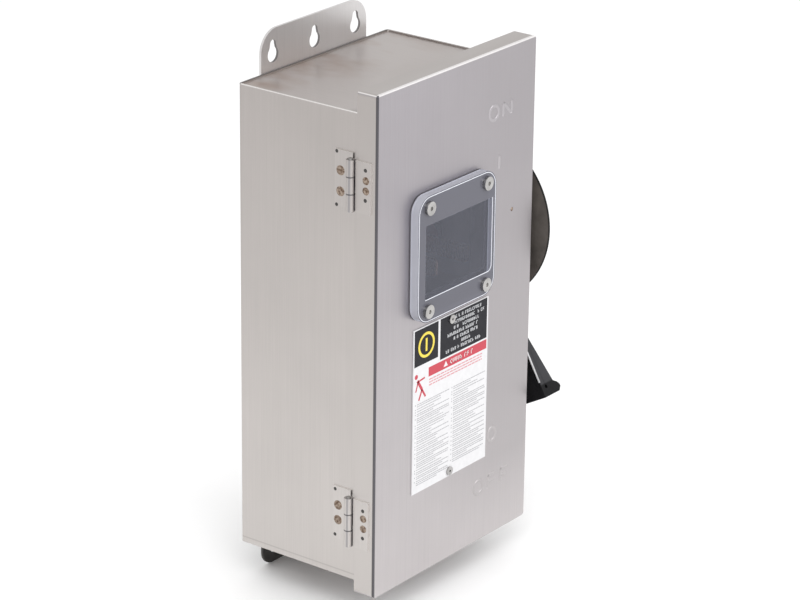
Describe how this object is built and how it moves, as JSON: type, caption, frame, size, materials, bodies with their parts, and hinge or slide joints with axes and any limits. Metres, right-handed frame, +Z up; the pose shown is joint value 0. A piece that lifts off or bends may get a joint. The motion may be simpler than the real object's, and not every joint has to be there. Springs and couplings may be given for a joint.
{
  "type": "fused disconnect switch",
  "caption": "Stainless wall box with a hinged, windowed door, a side lever, draw latches, a visible-blade switch and pull-out fuses.",
  "frame": {"origin": "centre of the mounting plane, on the rear face of the back strap, at the middle of the box's width and height", "axes": "+Z up, +Y into the wall, so the door faces -Y; +X is to the right as seen from the front, where the lever is"},
  "size_m": [0.2407, 0.1516, 0.448],
  "materials": {
    "stainless": "brushed along the height",
    "stainless_hardware": "lightly polished",
    "dark_bracket": "dark matt coating",
    "zinc_steel": "zinc plated",
    "bronze": "oiled bearing bronze",
    "seal_rubber": "matt black",
    "moulded_base": "moulded thermoset",
    "arc_board": "grey-brown arc board",
    "rotor_red": "moulded glass polyester",
    "copper": "bright copper",
    "lug_aluminium": "tin plated",
    "lug_screw": "steel",
    "ground_green": "green",
    "clear_shield": "clear plastic sheet",
    "window_clear": "clear polycarbonate",
    "label": "printed film on a thin plate",
    "handle_black": "black powder coat",
    "fuse_paper": "paper tube and tinned caps"
  },
  "bodies": {
    "enclosure": {"enclosure_wrap": "stainless", "top_end_cap": "stainless", "bottom_end_cap": "stainless", "back_strap": "stainless", "bottom_bracket": "dark_bracket", "upper_hinge_body_leaf": "stainless_hardware", "lower_hinge_body_leaf": "stainless_hardware", "latch_bases": "stainless_hardware", "latch_pivot_pins": "stainless_hardware", "shaft_bushing": "bronze", "bushing_nut": "zinc_steel", "shaft_seal": "seal_rubber", "mounting_pan": "zinc_steel", "pan_studs": "zinc_steel", "pan_nuts": "zinc_steel", "switch_base": "moulded_base", "line_jaws": "copper", "arc_chutes": "arc_board", "line_lugs": "lug_aluminium", "line_lug_screws": "lug_screw", "line_shield": "clear_shield", "mechanism_bracket": "zinc_steel", "rotor_bearings": "moulded_base", "toggle_spring": "zinc_steel", "load_straps": "copper", "fuse_block": "moulded_base", "line_fuse_clips": "copper", "load_fuse_clips": "copper", "load_lugs": "lug_aluminium", "load_lug_screws": "lug_screw", "ground_bar": "lug_aluminium", "ground_screws": "ground_green"},
    "door": {"door": "stainless", "door_gasket": "seal_rubber", "window_plate": "window_clear", "window_gasket": "seal_rubber", "window_screws": "stainless_hardware", "window_nuts": "stainless_hardware", "label_plate": "label", "label_rivets": "stainless_hardware", "upper_hinge_door_leaf": "stainless_hardware", "lower_hinge_door_leaf": "stainless_hardware", "hinge_pins": "stainless_hardware", "latch_keepers": "stainless_hardware", "interlock_catch": "zinc_steel"},
    "handle": {"handle_disc": "handle_black", "handle_lever": "handle_black", "handle_shaft": "zinc_steel", "handle_bolt": "zinc_steel", "drive_cam": "zinc_steel"},
    "rotor": {"rotor_bar": "rotor_red", "switch_blades": "copper"},
    "interlock": {"interlock_lever": "zinc_steel"},
    "upper_latch": {"upper_latch_lever": "stainless_hardware"},
    "upper_hook": {"upper_latch_hook": "stainless_hardware"},
    "lower_latch": {"lower_latch_lever": "stainless_hardware"},
    "lower_hook": {"lower_latch_hook": "stainless_hardware"},
    "left_fuse": {"fuse_left": "fuse_paper"},
    "centre_fuse": {"fuse_centre": "fuse_paper"},
    "right_fuse": {"fuse_right": "fuse_paper"}
  },
  "joints": [
    {"name": "door_hinge", "type": "hinge", "parent": "enclosure", "child": "door", "pos_m": [-0.1016, -0.1174, 0], "axis": [0, 0, -1], "range_deg": [0, 150]},
    {"name": "handle_turn", "type": "hinge", "parent": "enclosure", "child": "handle", "pos_m": [0.11, -0.0785, 0.0475], "axis": [-1, 0, 0], "range_deg": [0, 90]},
    {"name": "rotor_turn", "type": "hinge", "parent": "enclosure", "child": "rotor", "pos_m": [-0.01, -0.0785, 0.0475], "axis": [-1, 0, 0], "range_deg": [0, 90]},
    {"name": "interlock_swing", "type": "hinge", "parent": "enclosure", "child": "interlock", "pos_m": [0.067, -0.105, 0.086], "axis": [-1, 0, 0], "range_deg": [0, 30]},
    {"name": "upper_latch_turn", "type": "hinge", "parent": "enclosure", "child": "upper_latch", "pos_m": [0.098, -0.105, 0.165], "axis": [0, 0, -1], "range_deg": [0, 120]},
    {"name": "upper_hook_turn", "type": "hinge", "parent": "upper_latch", "child": "upper_hook", "pos_m": [0.1014, -0.0935, 0.165], "axis": [0, 0, 1], "range_deg": [0, 120]},
    {"name": "lower_latch_turn", "type": "hinge", "parent": "enclosure", "child": "lower_latch", "pos_m": [0.098, -0.105, -0.165], "axis": [0, 0, -1], "range_deg": [0, 120]},
    {"name": "lower_hook_turn", "type": "hinge", "parent": "lower_latch", "child": "lower_hook", "pos_m": [0.1014, -0.0935, -0.165], "axis": [0, 0, 1], "range_deg": [0, 120]},
    {"name": "left_fuse_pull", "type": "slide", "parent": "enclosure", "child": "left_fuse", "axis": [0, -1, 0], "range_m": [0, 0.04]},
    {"name": "centre_fuse_pull", "type": "slide", "parent": "enclosure", "child": "centre_fuse", "axis": [0, -1, 0], "range_m": [0, 0.04]},
    {"name": "right_fuse_pull", "type": "slide", "parent": "enclosure", "child": "right_fuse", "axis": [0, -1, 0], "range_m": [0, 0.04]}
  ],
  "couplings": [
    {"joint": "rotor_turn", "follows": "handle_turn", "ratio": 1},
    {"joint": "interlock_swing", "follows": "handle_turn", "ratio": 0.33333},
    {"joint": "upper_hook_turn", "follows": "upper_latch_turn", "ratio": 1},
    {"joint": "lower_hook_turn", "follows": "lower_latch_turn", "ratio": 1}
  ]
}
